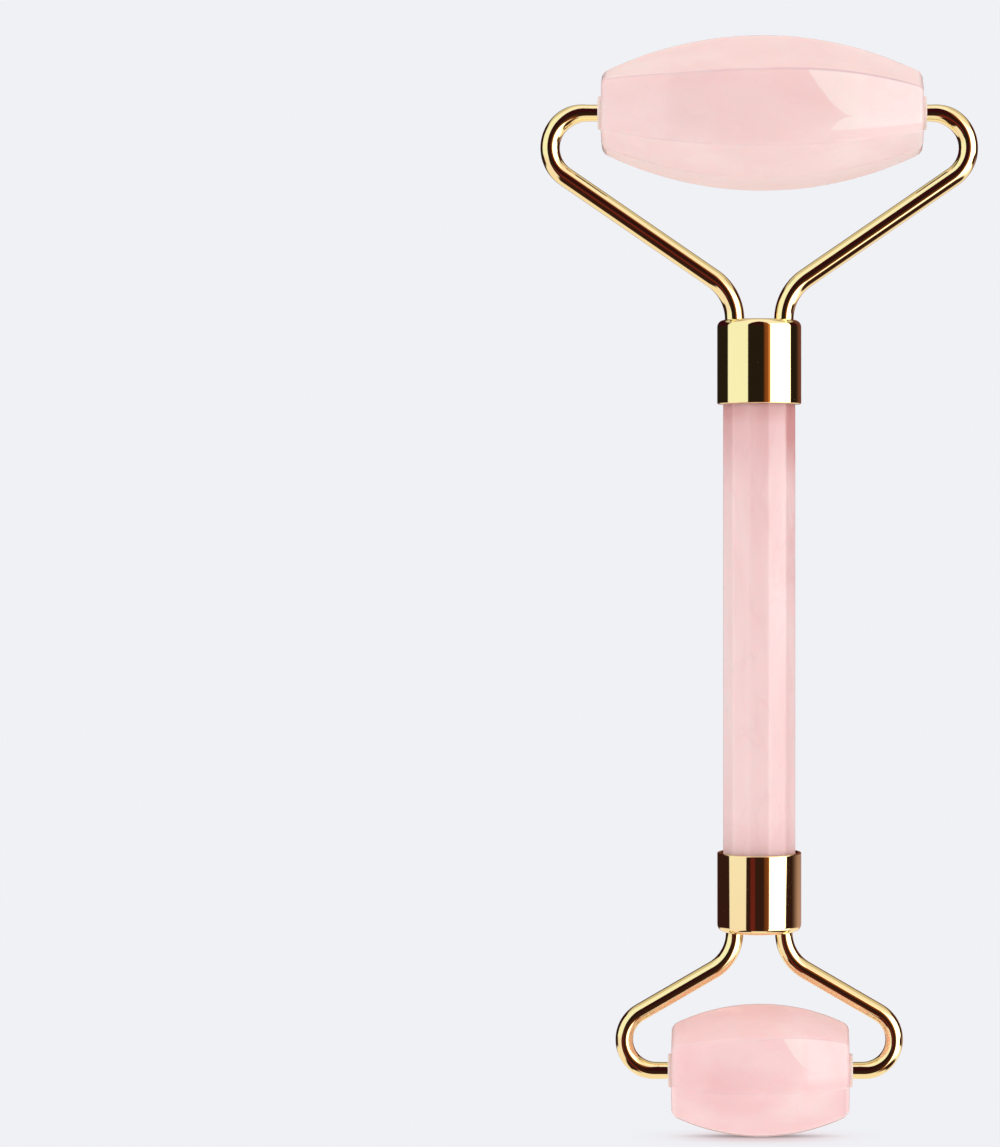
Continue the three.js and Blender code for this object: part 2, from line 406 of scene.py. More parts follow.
def quartz(part, stretch, rosy, painted_reflection):
    """Polished rose quartz with clouds that run along a stretch.

    rosy() gives how much deeper pink the stone is at each spot, some of it painted shade. The last function
    gives painted light, the painted shade beside it and how dark its painted shade lines are.
    """
    tints = bpy.context.scene.roller_colour
    main, milky, rose = (getattr(tints, part + kind) for kind in ("", "_pale", "_rose"))
    finish = Finish(f"quartz_{part}", {
        "IOR": 1.544,
        "Specular IOR Level": 0.4,
        "Subsurface Weight": 0.55,
        "Subsurface Radius": (1.0, 0.42, 0.38),
        "Subsurface Scale": 0.0035,
    })
    place = finish.stretched(finish.place, stretch)
    clouds = finish.noise(place, 95, 4, 0.7)
    wisps = finish.noise(place, 260, 5, 1.6, 0.6)
    sheet = abs(finish.noise(place, 130, 2, 2.2) - 0.5)
    veins = 1 - sheet.step(0.0, 0.035)
    pale = clouds.step(0.42, 0.3) * 0.55 + wisps.step(0.5, 0.35) * 0.25
    tone = finish.mix(pale, main, milky)
    deep = ((1 - clouds).step(0.5, 0.3) * 0.22 + rosy(finish)).clamped()
    tone = finish.mix(deep, tone, rose)
    tone = finish.mix(veins * wisps * 0.14, tone, rose)
    # Painted light: a pale painted highlight, deeper pink that is painted shade, and dark painted shade
    # lines.
    painted_highlight, rosy_painted_shade, lines = painted_reflection(finish)
    tone = finish.mix(lines, tone, tints.line)
    tone = finish.mix(rosy_painted_shade, tone, rose)
    tone = finish.mix(painted_highlight, tone, tints.painted_reflection)
    finish.feed("Base Color", tone)
    finish.feed("Roughness", 0.08 + finish.noise(finish.place, 320, 3) * 0.07 + veins * 0.03)
    finish.bump(finish.noise(finish.place, 140, 2) + wisps * 0.08, 0.00003, 0.5)
    return finish.material


def separate(graph, vector):
    node = graph.node("ShaderNodeSeparateXYZ", None, {0: vector})
    return [Signal(graph, output) for output in node.outputs]


def grip_ends():
    """The heights at which the grip goes into the lower and the upper ferrule."""
    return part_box("lower_ferrule")[1].z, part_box("upper_ferrule")[0].z


def grip_rose_and_shade(finish):
    """The grip is deeper pink where it goes into each ferrule, most of all on its right flank: painted
    shade, broken up by random patches and veins.
    """
    lower, upper = grip_ends()
    x, _, height = separate(finish, finish.place)
    right = x.step(*GRIP_FLANK)
    left = (x * -1).step(*GRIP_FLANK)
    patchy = finish.noise(finish.place, 210, 3, 0.5)
    top = height.step(upper - 13 * MM, 16 * MM)
    foot = 1 - height.step(lower - 2 * MM, 8 * MM)
    collar = height.step(upper - 3 * MM, 2 * MM)
    near = top * (0.4 + patchy * 0.5 + right * 1.3 + left * 0.25) + foot * (0.3 + patchy * 0.4)
    near = near + collar * patchy * 0.5
    veined = finish.noise(finish.stretched(finish.place, (1, 1, 0.4)), 420, 3, 1.0).step(0.5, 0.2)
    flank = right * top * 0.2 + right * veined * height.step(lower, 50 * MM) * 0.25
    return near.clamped() * 0.75 + flank


def stone_rose_and_shade(end, centre_x, centre_z, half):
    """A soft mauve cloud over the belly of a stone and rosy rims of painted shade along its top and bottom,
    as a function for quartz().
    """
    def mask(finish):
        x, _, z = separate(finish, finish.place)
        cloud = end.cloud
        along = (x - (centre_x + cloud["x"] * half)) / (cloud["width"] * half)
        across = (z - (centre_z + cloud["z"] * half)) / (cloud["height"] * half)
        blur = finish.noise(finish.place, 120, 3, 0.4)
        far = (along * along + across * across).sqrt() + (blur - 0.5) * 0.7
        belly = (1 - far.step(0.55, 0.75)) * cloud["strength"]
        height = (z - centre_z) / half
        streaks = finish.noise(finish.stretched(finish.place, (0.3, 1, 1.6)), 260, 3, 0.8)
        # Painted shade: deeper pink rims along the stone's top and bottom, broken up by streaks.
        top, low = end.top_rim, end.low_rim
        top_rim = height.step(top["start"], top["width"]) * top["strength"]
        low_rim = (1 - height.step(low["start"], low["width"])) * low["strength"]
        return belly + (top_rim + low_rim) * (0.3 + streaks * 1.1)
    return mask


def facet_painted_reflection(tip, tip_share, top, curve, foot, foot_blur, nose, start, lines):
    """A painted highlight on the front facet in place of a reflection, painted shade below it and at the
    left end, and painted shade lines, as a function for quartz().

    The highlight's edge runs from top, at the facet's upper edge, in a curve down to the tip, which is at
    the height tip_share. It then goes back to the nose at the foot, where it fades out over
    foot_blur. It is thinner from start onwards. The last entry says how dark the painted shade lines and
    the shaded end are. Places are shares of half the stone's length from its middle, and heights are
    shares across the facet.
    """
    def mask(finish):
        uv = finish.value("ShaderNodeUVMap", {"uv_map": FACET_MAP})
        along, round_, _ = separate(finish, uv)
        facet = round_.maths("FLOOR")
        across = round_ - facet
        rise = ((across - tip_share) / (1 - tip_share)).maths("MAXIMUM", 0.0)
        fall = ((tip_share - across) / (tip_share - foot)).maths("MAXIMUM", 0.0).maths("MINIMUM", 1.0)
        edge = tip - rise ** curve * (tip - top) - fall ** 0.4 * (tip - nose)
        ragged = (finish.noise(finish.place, 500, 3) - 0.5) * 0.03
        above_foot = across.step(foot + 0.01 - foot_blur, foot_blur)
        # The pale patch is a painted highlight in place of a reflection, strongest on the front facet.
        painted_reflection = (along - edge + ragged).step(0.0, 0.02) * above_foot
        glare = along.step(start, 0.1)
        front = facet.maths("COMPARE", FRONT_FACET, 0.5)
        painted_highlight = painted_reflection * (1 - glare * 0.7) * (1 - across.step(0.97, 0.03)) * (front * 0.85 + 0.15) * 0.42
        # Painted shade: deeper pink where the stone's own reflection starts under the patch and at the left
        # end, and a darker left end of the front facet.
        rosy_painted_shade = (glare * (1 - above_foot) * 0.3 + (1 - along.step(-0.95, 0.5)) * 0.14) * front
        shaded_end = (1 - along.step(-0.6, 0.75)) * front * 0.15
        return painted_highlight, rosy_painted_shade, (facet_lines(finish, along, round_, across) + shaded_end) * lines
    return mask


def facet_lines(finish, along, round_, across):
    """A thin painted shade line along the edge above the front facet, stronger to the right, and faint ones
    along the other facet edges.
    """
    border = (1 - across.step(0.0, 0.03)) + across.step(0.96, 0.03)
    crest = 1 - abs(round_ - TOP_CORNER).step(0.0, 0.035)
    patchy = finish.noise(finish.place, 130, 2) + 0.5
    return (crest * (0.35 + along.step(-0.1, 0.8) * 0.65) + border * 0.1) * patchy


def grip_painted_light(finish):
    """Painted light: the grip is paler along the middle of its left flank. It has no painted shade at its
    ends and no painted shade lines.
    """
    lower, upper = grip_ends()
    x, _, height = separate(finish, finish.place)
    left = (x * -1).step(*GRIP_FLANK)
    middle = height.between(lower + 4 * MM, 14 * MM, upper - 20 * MM, 12 * MM)
    return left * middle * 0.22, 0.0, 0.0


def gilt():
    """Bright gold plate with faint smears and fine polishing marks."""
    tints = bpy.context.scene.roller_colour
    finish = Finish("gilt_plate", {"Metallic": 1.0})
    smears = finish.noise(finish.place, 140, 4, 0.8)
    grain = finish.noise(finish.place, 1500, 2)
    finish.feed("Base Color", finish.mix(smears * 0.5, tints.gilt, shade_of(tints.gilt, 0.93)))
    finish.feed("Roughness", 0.03 + smears.step(0.45, 0.4) * 0.035 + grain * 0.01)
    finish.bump(finish.noise(finish.place, 110, 2), 0.000012, 0.3)
    return finish.material


def bush_plastic():
    tints = bpy.context.scene.roller_colour
    finish = Finish("moulded_bush", {
        "IOR": 1.49, "Subsurface Weight": 0.3, "Subsurface Radius": (1.0, 0.6, 0.5),
        "Subsurface Scale": 0.0008,
    })
    flow = finish.noise(finish.place, 700, 3)
    finish.feed("Base Color", finish.mix(flow, tints.bush, shade_of(tints.bush, 0.93)))
    finish.feed("Roughness", 0.32 + flow * 0.16)
    finish.bump(finish.noise(finish.place, 3200, 2), 0.000006, 0.4)
    return finish.material


def cast_zinc():
    tints = bpy.context.scene.roller_colour
    finish = Finish("zinc_casting", {"Metallic": 1.0})
    skin = finish.noise(finish.place, 900, 6, 0.3, 0.65)
    finish.feed("Base Color", finish.mix(skin, tints.zinc, shade_of(tints.zinc, 0.7)))
    finish.feed("Roughness", 0.42 + skin * 0.25)
    finish.bump(skin, 0.00004)
    return finish.material


def set_resin():
    tints = bpy.context.scene.roller_colour
    finish = Finish("cured_resin", {
        "IOR": 1.55, "Subsurface Weight": 0.4, "Subsurface Radius": (1.0, 0.7, 0.3),
        "Subsurface Scale": 0.001,
    })
    swirl = finish.noise(finish.place, 420, 4, 1.2)
    cells = finish.value("ShaderNodeTexVoronoi", None, {"Vector": finish.place, "Scale": 1800})
    bubbles = 1 - cells.step(0, 0.25)
    finish.feed("Base Color", finish.mix(swirl, tints.resin, shade_of(tints.resin, 0.8)))
    finish.feed("Roughness", 0.2 + swirl * 0.2)
    finish.bump(swirl - bubbles * 0.6, 0.00003)
    return finish.material


def material(name, make):
    """A material that is made the first time that it is asked for."""
    return bpy.data.materials.get(name) or make()


# ---- Mesh helpers -------------------------------------------------------------------------------


def in_order(parts):
    """Each part once, in the order in which it is first met."""
    return list(dict.fromkeys(parts))


def circle(bm, radius, sides, place):
    """A circle's edges, round the Z axis of a place."""
    verts = bmesh.ops.create_circle(bm, segments=sides, radius=radius, matrix=place)["verts"]
    return in_order(edge for vert in verts for edge in vert.link_edges)


def ring_at(bm, radius, height, sides, turn=0.0):
    """A level circle's edges at a height."""
    return circle(bm, radius, sides, Matrix.Translation((0, 0, height)) @ Matrix.Rotation(turn, 4, "Z"))


def ring_across(bm, radius, centre, sides):
    """The edges of a circle round an axle along X."""
    return circle(bm, radius, sides, Matrix.Translation(centre) @ Matrix.Rotation(math.pi / 2, 4, "Y"))


def edges_verts(edges):
    return in_order(vert for edge in edges for vert in edge.verts)


def extruded(bm, edges, offset, scale=1.0, centre=None):
    """Draws a ring of edges along, scaled about a centre, and gives the new ring."""
    made = bmesh.ops.extrude_edge_only(bm, edges=edges)["geom"]
    verts = [g for g in made if isinstance(g, bmesh.types.BMVert)]
    if scale != 1.0:
        space = Matrix.Translation(-Vector(centre))
        bmesh.ops.scale(bm, vec=(scale, scale, scale), space=space, verts=verts)
    bmesh.ops.translate(bm, vec=offset, verts=verts)
    return [g for g in made if isinstance(g, bmesh.types.BMEdge) and all(v in verts for v in g.verts)]


def swung(bm, edges, centre, axis, angle, steps):
    """Swings a ring of edges round an axis and gives the last ring."""
    swing = bmesh.ops.spin(
        bm, geom=edges + edges_verts(edges), cent=centre, axis=axis, angle=angle, steps=steps
    )
    return [g for g in swing["geom_last"] if isinstance(g, bmesh.types.BMEdge)]


def turned(bm, outline, sides, axis="Z", centre=(0, 0, 0), closed=False):
    """Turns an outline of (radius, place along the axis) points right round."""
    spots = [Vector((r, 0, z)) if axis == "Z" else Vector((z, 0, r)) for r, z in outline]
    verts = [bm.verts.new(Vector(centre) + spot) for spot in spots]
    pairs = list(zip(verts, verts[1:]))
    if closed:
        pairs.append((verts[-1], verts[0]))
    edges = [bm.edges.new(pair) for pair in pairs]
    direction = (0, 0, 1) if axis == "Z" else (1, 0, 0)
    bmesh.ops.spin(
        bm, geom=verts + edges, cent=centre, axis=direction, angle=2 * math.pi, steps=sides, use_merge=True
    )


def chamfered_side(radius, low, high, chamfer, lean):
    """The outline of a turned side, its ends leaning in (-1) or out (1)."""
    end = radius + lean * chamfer
    return [(end, low), (radius, low + chamfer), (radius, high - chamfer), (end, high)]


def joined(bm):
    """Makes points that meet one, and turns every face outwards."""
    bmesh.ops.remove_doubles(bm, verts=bm.verts, dist=JOIN)
    bmesh.ops.recalc_face_normals(bm, faces=bm.faces)


def soften(bm, edges, offset, segments):
    bmesh.ops.bevel(
        bm, geom=edges, offset=offset, offset_type="OFFSET", segments=segments,
        profile=0.5, affect="EDGES", material=-1, clamp_overlap=True,
    )


def rim(bm, height, reach):
    """The edges that lie at a height and have a face on one side only, out to a reach."""
    return [
        edge for edge in bm.edges
        if len(edge.link_faces) < 2
        and all(abs(v.co.z - height) < NEAR and v.co.xy.length < reach for v in edge.verts)
    ]


def finished(bm, name, look, end_turn=None):
    """Closes the work on a mesh and gives its object, smooth and facing outwards."""
    bmesh.ops.remove_doubles(bm, verts=bm.verts, dist=JOIN)
    if end_turn is not None:
        bmesh.ops.transform(bm, matrix=end_turn, verts=bm.verts)
    bmesh.ops.recalc_face_normals(bm, faces=bm.faces)
    for face in bm.faces:
        face.smooth = True
    mesh = bpy.data.meshes.new(name)
    bm.to_mesh(mesh)
    bm.free()
    mesh.materials.append(look)
    piece = bpy.data.objects.new(name, mesh)
    bpy.context.scene.collection.objects.link(piece)
    shading = piece.modifiers.new("Even shading", "WEIGHTED_NORMAL")
    shading.mode = "FACE_AREA"
    shading.weight = 60
    return piece


def stand_for(piece, node, body):
    """The piece moves with a body and is shown in place of a CAD node."""
    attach(piece, body)
    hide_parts(node)


# ---- Grip ---------------------------------------------------------------------------------------


class ROLLER_OT_grip(Operator):
    """Make the faceted stone grip"""

    bl_idname = "roller.grip"
    bl_label = "Grip"

    def execute(self, context):
        size = context.scene.roller_grip
        low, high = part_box("grip_stone")
        half_facet = math.pi / size.facets
        radius = high.x / math.cos(half_facet)
        inner = 1 - size.end_chamfer / radius
        bm = bmesh.new()
        ring = ring_at(bm, radius * inner, low.z, size.facets, half_facet)
        bmesh.ops.edgeloop_fill(bm, edges=ring)
        ring = extruded(bm, ring, (0, 0, size.end_chamfer), 1 / inner, (0, 0, low.z))
        ring = extruded(bm, ring, (0, 0, high.z - low.z - 2 * size.end_chamfer))
        top = (0, 0, high.z - size.end_chamfer)
        ring = extruded(bm, ring, (0, 0, size.end_chamfer), inner, top)
        bmesh.ops.edgeloop_fill(bm, edges=ring)
        long_edges = [e for e in bm.edges if e.calc_length() > (high.z - low.z) / 2]
        soften(bm, long_edges, size.edge_softness, 4)
        look = quartz("grip", (1, 1, 0.32), grip_rose_and_shade, grip_painted_light)
        piece = finished(bm, "grip_quartz", look)
        stand_for(piece, "grip_stone", "handle")
        return {"FINISHED"}


# ---- Ferrules, plugs and adhesive ---------------------------------------------------------------


def wire_holes(bm, end, low, high, ferrule):
    """Two countersunk holes for a fork's wires between two heights."""
    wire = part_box(f"{end.size}_fork_right_arm")[1].y
    outline = chamfered_side(wire + ferrule.hole_gap, low, high, ferrule.hole_edge, 1)
    for side in (-1, 1):
        turned(bm, outline, HOLE_SIDES, centre=(side * ferrule.leg_spacing / 2, 0, 0))


def plate(bm, height, reach):
    """Closes the flat space at a height between the open rims there."""
    bmesh.ops.triangle_fill(bm, use_beauty=True, edges=rim(bm, height, reach), normal=(0, 0, 1))


class ROLLER_OT_ferrules(Operator):
    """Make the two gilt ferrules"""

    bl_idname = "roller.ferrules"
    bl_label = "Ferrules"

    def execute(self, context):
        size = context.scene.roller_ferrule
        for end in ENDS:
            node = f"{end.place}_ferrule"
            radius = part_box(node)[1].x
            mouth, closed = end.heights(node)
            floor = closed - size.end_wall
            bore = radius - size.wall
            bm = bmesh.new()
            outline = [(radius - size.shoulder, closed)]
            turns = 8
            for i in range(1, turns + 1):
                angle = i / turns * math.pi / 2
                outline.append((
                    radius - size.shoulder * (1 - math.sin(angle)),
                    closed - size.shoulder * (1 - math.cos(angle)),
                ))
            middle = (radius + bore) / 2
            roll = (radius - bore) / 2
            for i in range(turns + 1):
                angle = i / turns * math.pi
                outline.append((middle + roll * math.cos(angle), mouth + size.lip * (1 - math.sin(angle))))
            outline.append((bore, floor - size.lip))
            outline.append((bore - size.lip, floor))
            turned(bm, outline, FERRULE_SIDES)
            wire_holes(bm, end, floor, closed, size)
            plate(bm, closed, radius)
            plate(bm, floor, radius)
            piece = finished(bm, f"{node}_gilt", material("gilt_plate", gilt), end.turn)
            stand_for(piece, node, "handle")
        return {"FINISHED"}


class ROLLER_OT_anchors(Operator):
    """Make the cast plugs and the set resin inside the ferrules"""

    bl_idname = "roller.anchors"
    bl_label = "Anchors"

    def execute(self, context):
        size = context.scene.roller_ferrule
        grip = context.scene.roller_grip
        for end in ENDS:
            node = f"{end.place}_anchor_plug"
            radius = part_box(node)[1].x
            low, high = end.heights(node)
            bm = bmesh.new()
            turned(bm, chamfered_side(radius, low, high, 2 * size.lip, -1), PLUG_SIDES)
            wire_holes(bm, end, low, high, size)
            plate(bm, low, radius)
            plate(bm, high, radius)
            piece = finished(bm, f"{node}_cast", material("zinc_casting", cast_zinc), end.turn)
            stand_for(piece, node, "handle")

            node = f"{end.place}_adhesive"
            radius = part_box(node)[1].x
            low, high = end.heights(node)
            half_facet = math.pi / grip.facets
            clearance = 0.04 * MM
            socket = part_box("grip_stone")[1].x / math.cos(half_facet) + clearance
            socket_end = end.heights("grip_stone")[1] + clearance
            bm = bmesh.new()
            outer = ring_at(bm, radius, low, PLUG_SIDES)
            bmesh.ops.edgeloop_fill(bm, edges=extruded(bm, outer, (0, 0, high - low)))
            inner = ring_at(bm, socket, low, grip.facets, half_facet)
            bmesh.ops.edgeloop_fill(bm, edges=extruded(bm, inner, (0, 0, socket_end - low)))
            plate(bm, low, 2 * radius)
            piece = finished(bm, f"{node}_set", material("cured_resin", set_resin), end.turn)
            stand_for(piece, node, "handle")
        return {"FINISHED"}


# ---- Forks --------------------------------------------------------------------------------------


def fork_arm(context, end, side):
    """Pin, taper, loop, straight run, bend and tail of one arm."""
    size = context.scene.roller_wire
    ferrule = context.scene.roller_ferrule
    bush = context.scene.roller_bush
    node = f"{end.size}_fork_right_arm"
    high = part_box(node)[1]
    wire = high.y
    loop_radius = getattr(size, f"{end.size}_loop")
    bend_radius = getattr(size, f"{end.size}_bend")
    loop_x = high.x - wire - loop_radius
    closed = end.heights(f"{end.place}_ferrule")[1]
    tail = end.heights(node)[0]
    leg_x = ferrule.leg_spacing / 2
    loop = Vector((loop_x, 0, end.axle - loop_radius))
    bend = Vector((leg_x + bend_radius, 0, closed + getattr(size, f"{end.size}_bend_height")))
    across = bend - loop
    lean = math.asin((loop_radius + bend_radius) / across.length)
    run = math.atan2(across.z, across.x) - lean
    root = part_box(f"{end.size}_roller_right_bush")[1].x
    tip = root - size.pin_length
    run_in = loop_x - root
    chamfer = 0.25 * MM
    straight_steps, taper_steps, loop_steps, bend_steps = 5, 12, 48, 28

    bm = bmesh.new()
    ring = ring_across(bm, size.pin_radius - chamfer, (tip, 0, end.axle), size.sides)
    bmesh.ops.edgeloop_fill(bm, edges=ring)

    def drawn(x0, x1, r0, r1):
        return extruded(bm, ring, (x1 - x0, 0, 0), r1 / r0, (x0, 0, end.axle))

    pin = size.pin_radius
    ring = drawn(tip, tip + chamfer, pin - chamfer, pin)
    ring = drawn(tip + chamfer, root, pin, pin)
    # The pin swells to the full wire over the straight part and the first bit of the loop.
    swelling = run_in + loop_radius * size.swelling_turn

    def radius_at(way):
        return pin + (wire - pin) * swell(way / swelling)

    for i in range(straight_steps):
        a, b = (run_in * k / straight_steps for k in (i, i + 1))
        ring = drawn(root + a, root + b, radius_at(a), radius_at(b))
    for i in range(taper_steps):
        a, b = (size.swelling_turn * k / taper_steps for k in (i, i + 1))
        r0, r1 = (radius_at(run_in + loop_radius * angle) for angle in (a, b))
        at = loop + loop_radius * Vector((math.sin(a), 0, math.cos(a)))
        ring = extruded(bm, ring, (0, 0, 0), r1 / r0, at)
        swing = Matrix.Rotation(b - a, 3, "Y")
        bmesh.ops.rotate(bm, cent=loop, matrix=swing, verts=edges_verts(ring))
    ring = swung(bm, ring, loop, (0, -1, 0), run + size.swelling_turn, loop_steps)
    out = Vector((math.cos(run + math.pi / 2), 0, math.sin(run + math.pi / 2)))
    start = loop + loop_radius * out
    finish = bend - bend_radius * out
    ring = extruded(bm, ring, finish - start)
    ring = swung(bm, ring, bend, (0, -1, 0), math.pi - (run + 1.5 * math.pi), bend_steps)
    ring = extruded(bm, ring, (0, 0, tail - bend.z))
    bmesh.ops.edgeloop_fill(bm, edges=ring)
    if side == "left":
        bmesh.ops.transform(bm, matrix=Matrix.Rotation(math.pi, 4, "Z"), verts=bm.verts)
    return bm


def swell(share):
    """Smooth rise from 0 to 1."""
    return share * share * (3 - 2 * share)


class ROLLER_OT_forks(Operator):
    """Make the four sprung wire arms"""

    bl_idname = "roller.forks"
    bl_label = "Forks"

    def execute(self, context):
        for end in ENDS:
            for side in ("right", "left"):
                node = f"{end.size}_fork_{side}_arm"
                bm = fork_arm(context, end, side)
                piece = finished(bm, f"{node}_gilt", material("gilt_plate", gilt), end.turn)
                stand_for(piece, node, "handle")
        return {"FINISHED"}


# ---- Stones and bushes --------------------------------------------------------------------------


def barrel(context, end):
    """Faceted barrel with softened edges, rounded ends and a bore."""
    size = context.scene.roller_stone
    low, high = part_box(f"{end.size}_roller_stone")
    half = (high.x - low.x) / 2
    middle = (high.x + low.x) / 2
    radius = getattr(size, f"{end.size}_radius")
    end_radius = getattr(size, f"{end.size}_end_radius")
    rise = radius - end_radius
    crown = (half * half + rise * rise) / (2 * rise)
    axle = Vector((middle, 0, end.way * end.axle))

    def radius_at(x):
        over = max(0.0, (abs(x) - half) / size.end_rounding + 1)
        rounding = size.end_rounding * (1 - math.sqrt(1 - over * over))
        return radius - crown + math.sqrt(crown * crown - x * x) - rounding

    # Even stations along the barrel, then a quarter turn over each rounded end.
    straight = half - size.end_rounding
    places = [straight * (2 * i / size.stations - 1) for i in range(size.stations + 1)]
    curl_steps = 6
    curls = [size.end_rounding * math.sin(i / curl_steps * math.pi / 2) for i in range(1, curl_steps + 1)]
    places = [-straight - c for c in reversed(curls)] + places + [straight + c for c in curls]

    bm = bmesh.new()
    verts = []
    for angle in map(math.radians, end.corners(-1)):
        r = radius_at(-half)
        verts.append(bm.verts.new(axle + Vector((-half, -r * math.cos(angle), r * math.sin(angle)))))
    ring = [bm.edges.new(pair) for pair in zip(verts, verts[1:] + verts[:1])]
    first = ring
    for x0, x1 in zip(places, places[1:]):
        scale = radius_at(x1) / radius_at(x0)
        ring = extruded(bm, ring, (x1 - x0, 0, 0), scale, axle + Vector((x0, 0, 0)))
        for corner, (a0, a1) in enumerate(zip(end.corners(x0 / half), end.corners(x1 / half))):
            if abs(a1 - a0) > NEAR:
                vert = min(edges_verts(ring), key=lambda v: turn_between(angle_round(v.co, axle), a0))
                swing = Matrix.Rotation(math.radians(a0 - a1), 3, "X")
                bmesh.ops.rotate(bm, cent=axle, matrix=swing, verts=[vert])
    mouths = [axle + Vector((x, 0, 0)) for x in (-half, half)]
    bore = [ring_across(bm, size.bore_radius, mouth, BORE_SIDES) for mouth in mouths]
    for rim_edges, hole in ((first, bore[0]), (ring, bore[1])):
        bmesh.ops.triangle_fill(bm, use_beauty=True, edges=rim_edges + hole, normal=(1, 0, 0))
    bmesh.ops.bridge_loops(bm, edges=bore[0] + bore[1])
    joined(bm)
    facet_angle, mouth_angle = math.radians(16), math.radians(60)
    around_bore = size.bore_radius + size.end_rounding
    sharp = [
        edge for edge in bm.edges
        if edge.calc_face_angle() > facet_angle
        and abs(edge.verts[0].co.x - edge.verts[1].co.x) > NEAR
        and all((v.co - axle).yz.length > around_bore for v in edge.verts)
    ]
    soften(bm, sharp, size.edge_softness, 4)
    mouth_edges = [edge for edge in bm.edges if edge.calc_face_angle() > mouth_angle]
    soften(bm, mouth_edges, size.edge_softness / 2, 3)
    bmesh.ops.remove_doubles(bm, verts=bm.verts, dist=JOIN)
    map_facets(bm, end, half, axle)
    return bm


def angle_round(point, axle):
    """Degrees round the axle from the front upwards."""
    return math.degrees(math.atan2(point.z - axle.z, -point.y))


def turn_between(a, b):
    return abs((a - b + 180) % 360 - 180)


def map_facets(bm, end, half, axle):
    """A UV map: U from -1 to 1 along the stone, V the facet's number and the share across it."""
    layer = bm.loops.layers.uv.new(FACET_MAP)
    # Keeps every spot inside its own facet's part of the map.
    inset = 0.001

    def spans(x):
        corners = end.corners((x - axle.x) / half)
        return corners + [corners[0] + 360]

    for face in bm.faces:
        centre = face.calc_center_median()
        cuts = spans(centre.x)
        here = (angle_round(centre, axle) - cuts[0]) % 360 + cuts[0]
        facet = max(i for i in range(len(cuts) - 1) if cuts[i] <= here)
        for loop in face.loops:
            cuts = spans(loop.vert.co.x)
            angle = angle_round(loop.vert.co, axle)
            angle = here + (angle - here + 180) % 360 - 180
            share = (angle - cuts[facet]) / (cuts[facet + 1] - cuts[facet])
            share = min(max(share, inset), 1 - inset)
            loop[layer].uv = ((loop.vert.co.x - axle.x) / half, facet + share)


class ROLLER_OT_stones(Operator):
    """Make the two barrel stones"""

    bl_idname = "roller.stones"
    bl_label = "Stones"

    def execute(self, context):
        for end in ENDS:
            node = f"{end.size}_roller_stone"
            low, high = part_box(node)
            cloud = stone_rose_and_shade(end, (low.x + high.x) / 2, (low.z + high.z) / 2, (high.x - low.x) / 2)
            look = quartz(end.size, (0.55, 1, 1), cloud, facet_painted_reflection(**end.painted_reflection))
            piece = finished(barrel(context, end), f"{node}_quartz", look)
            # The gold mirrors the small stone only: the large one makes its reflections grainy.
            piece.visible_glossy = end.size == "small"
            stand_for(piece, node, end.stone_body)
        return {"FINISHED"}


class ROLLER_OT_bushes(Operator):
    """Make the four flanged bushes"""

    bl_idname = "roller.bushes"
    bl_label = "Bushes"

    def execute(self, context):
        size = context.scene.roller_bush
        for end in ENDS:
            for side, way in (("right", 1), ("left", -1)):
                node = f"{end.size}_roller_{side}_bush"
                low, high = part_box(node)
                outer, inner = (high.x, low.x) if way > 0 else (low.x, high.x)
                flange_radius = (high.y - low.y) / 2
                step = outer - way * size.flange
                outline = [
                    (size.bore_radius, inner),
                    (size.sleeve_radius, inner),
                    (size.sleeve_radius, step),
                    (flange_radius, step),
                    (flange_radius, outer),
                    (size.bore_radius, outer),
                ]
                bm = bmesh.new()
                turned(bm, outline, BUSH_SIDES, axis="X", centre=(0, 0, end.way * end.axle), closed=True)
                joined(bm)
                corner_angle = math.radians(45)
                corners = [e for e in bm.edges if e.calc_face_angle() > corner_angle]
                soften(bm, corners, size.edge, 3)
                piece = finished(bm, f"{node}_moulded", material("moulded_bush", bush_plastic))
                stand_for(piece, node, end.stone_body)
        return {"FINISHED"}


# ---- Studio -------------------------------------------------------------------------------------


